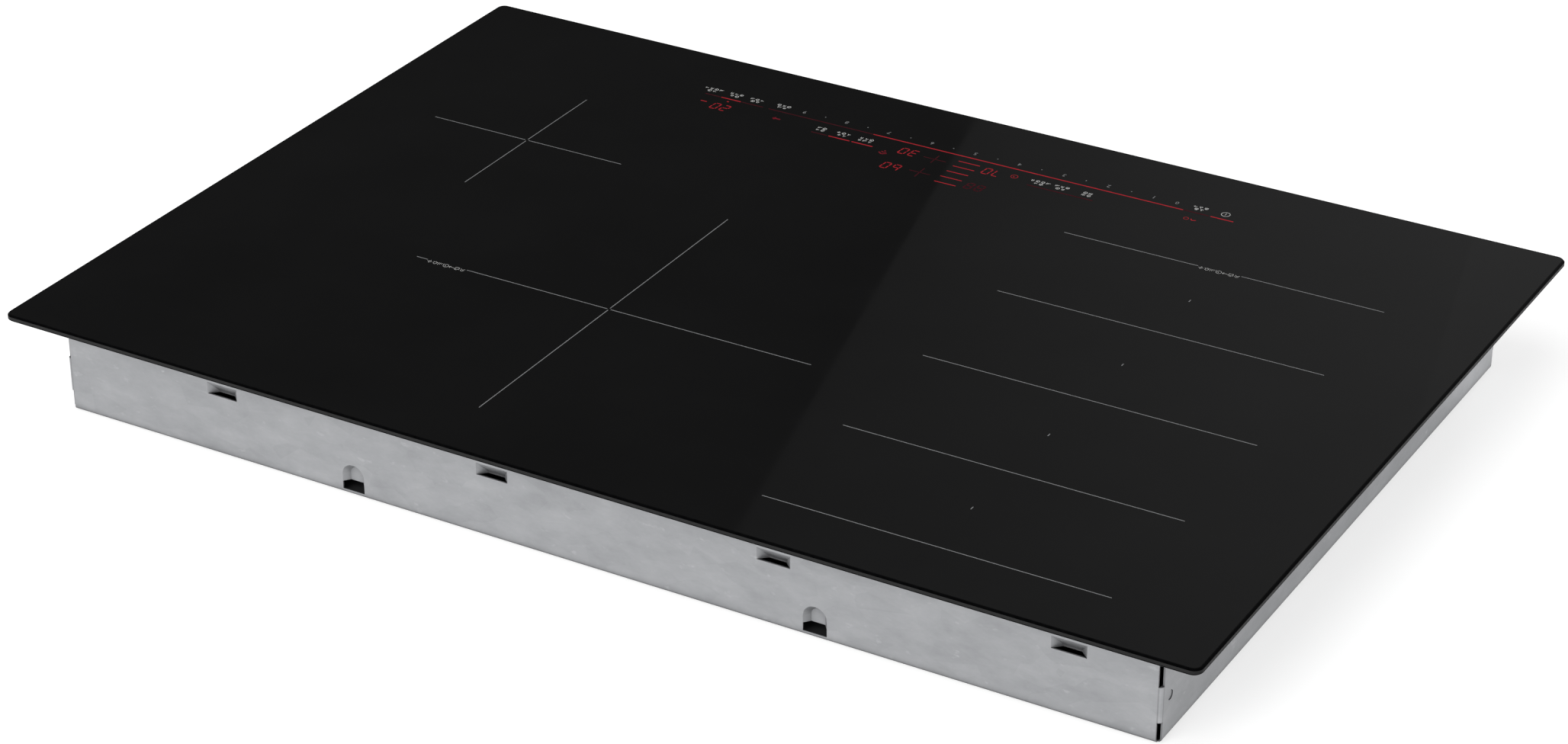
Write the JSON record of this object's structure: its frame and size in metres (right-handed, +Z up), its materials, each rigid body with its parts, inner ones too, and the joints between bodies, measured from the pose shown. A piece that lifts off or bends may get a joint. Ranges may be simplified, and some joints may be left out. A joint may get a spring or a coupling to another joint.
{
  "type": "induction cooktop",
  "caption": "Drop-in electric induction cooktop: black frameless glass plate with etched zone marks and touch controls, bonded over a folded steel pan with coils, boards and blowers.",
  "frame": {"origin": "centre of the bounding box at the pan's underside", "axes": "+X to the user's right along the long side, +Y to the rear away from the user, +Z up out of the glass"},
  "size_m": [0.7874, 0.5398, 0.0668],
  "materials": {
    "black_glass": "polished black",
    "seal_rubber": "matte",
    "adhesive": "matte",
    "galvanised_steel": "galvanised",
    "plated_steel": "zinc plated",
    "spring_steel": "bright",
    "motor_steel": "laminated",
    "shaft_steel": "ground",
    "bearing_bronze": "sintered",
    "aluminium": "mill finish",
    "copper_winding": "enamelled",
    "ferrite": "sintered",
    "former_plastic": "moulded",
    "mica": "pressed sheet",
    "sensor_cap": "moulded",
    "circuit_board": "solder mask",
    "capacitor_case": "moulded",
    "transistor_case": "moulded",
    "black_plastic": "moulded",
    "fan_plastic": "moulded",
    "white_plastic": "moulded",
    "display": "tinted",
    "contact_foam": "foam"
  },
  "bodies": {
    "chassis": {"board_posts": "white_plastic", "bottom_pan": "galvanised_steel", "coil_plate_left": "aluminium", "coil_plate_right": "aluminium", "control_board": "circuit_board", "control_tray": "white_plastic", "display_modules": "display", "fan_bearing_left": "bearing_bronze", "fan_bearing_right": "bearing_bronze", "fan_cover_left": "black_plastic", "fan_cover_right": "black_plastic", "fan_housing_left": "black_plastic", "fan_housing_right": "black_plastic", "fan_stator_left": "motor_steel", "fan_stator_right": "motor_steel", "filter_board": "circuit_board", "filter_capacitors": "capacitor_case", "filter_choke": "ferrite", "flex_ferrites": "ferrite", "flex_former_1": "former_plastic", "flex_former_2": "former_plastic", "flex_former_3": "former_plastic", "flex_former_4": "former_plastic", "flex_winding_1": "copper_winding", "flex_winding_2": "copper_winding", "flex_winding_3": "copper_winding", "flex_winding_4": "copper_winding", "glass_bond": "adhesive", "glass_top": "black_glass", "heat_sink_left": "aluminium", "heat_sink_right": "aluminium", "large_ferrites": "ferrite", "large_former": "former_plastic", "large_winding": "copper_winding", "mica_large": "mica", "mica_left": "mica", "mica_small": "mica", "power_board_left": "circuit_board", "power_board_right": "circuit_board", "power_capacitors_left": "capacitor_case", "power_capacitors_right": "capacitor_case", "power_transistors_left": "transistor_case", "power_transistors_right": "transistor_case", "rim_seal": "seal_rubber", "small_ferrites": "ferrite", "small_former": "former_plastic", "small_winding": "copper_winding", "support_springs": "spring_steel", "temperature_sensors": "sensor_cap", "terminal_block": "black_plastic", "terminal_screws": "plated_steel", "touch_contacts": "contact_foam"},
    "fan_rotor_left": {"fan_wheel_left": "fan_plastic", "fan_shaft_left": "shaft_steel"},
    "fan_rotor_right": {"fan_wheel_right": "fan_plastic", "fan_shaft_right": "shaft_steel"}
  },
  "joints": [
    {"name": "fan_spin_left", "type": "hinge", "parent": "chassis", "child": "fan_rotor_left", "pos_m": [-0.187, 0.12, 0.012], "axis": [0, 0, 1], "continuous": true},
    {"name": "fan_spin_right", "type": "hinge", "parent": "chassis", "child": "fan_rotor_right", "pos_m": [0.243, 0.12, 0.012], "axis": [0, 0, 1], "continuous": true}
  ]
}
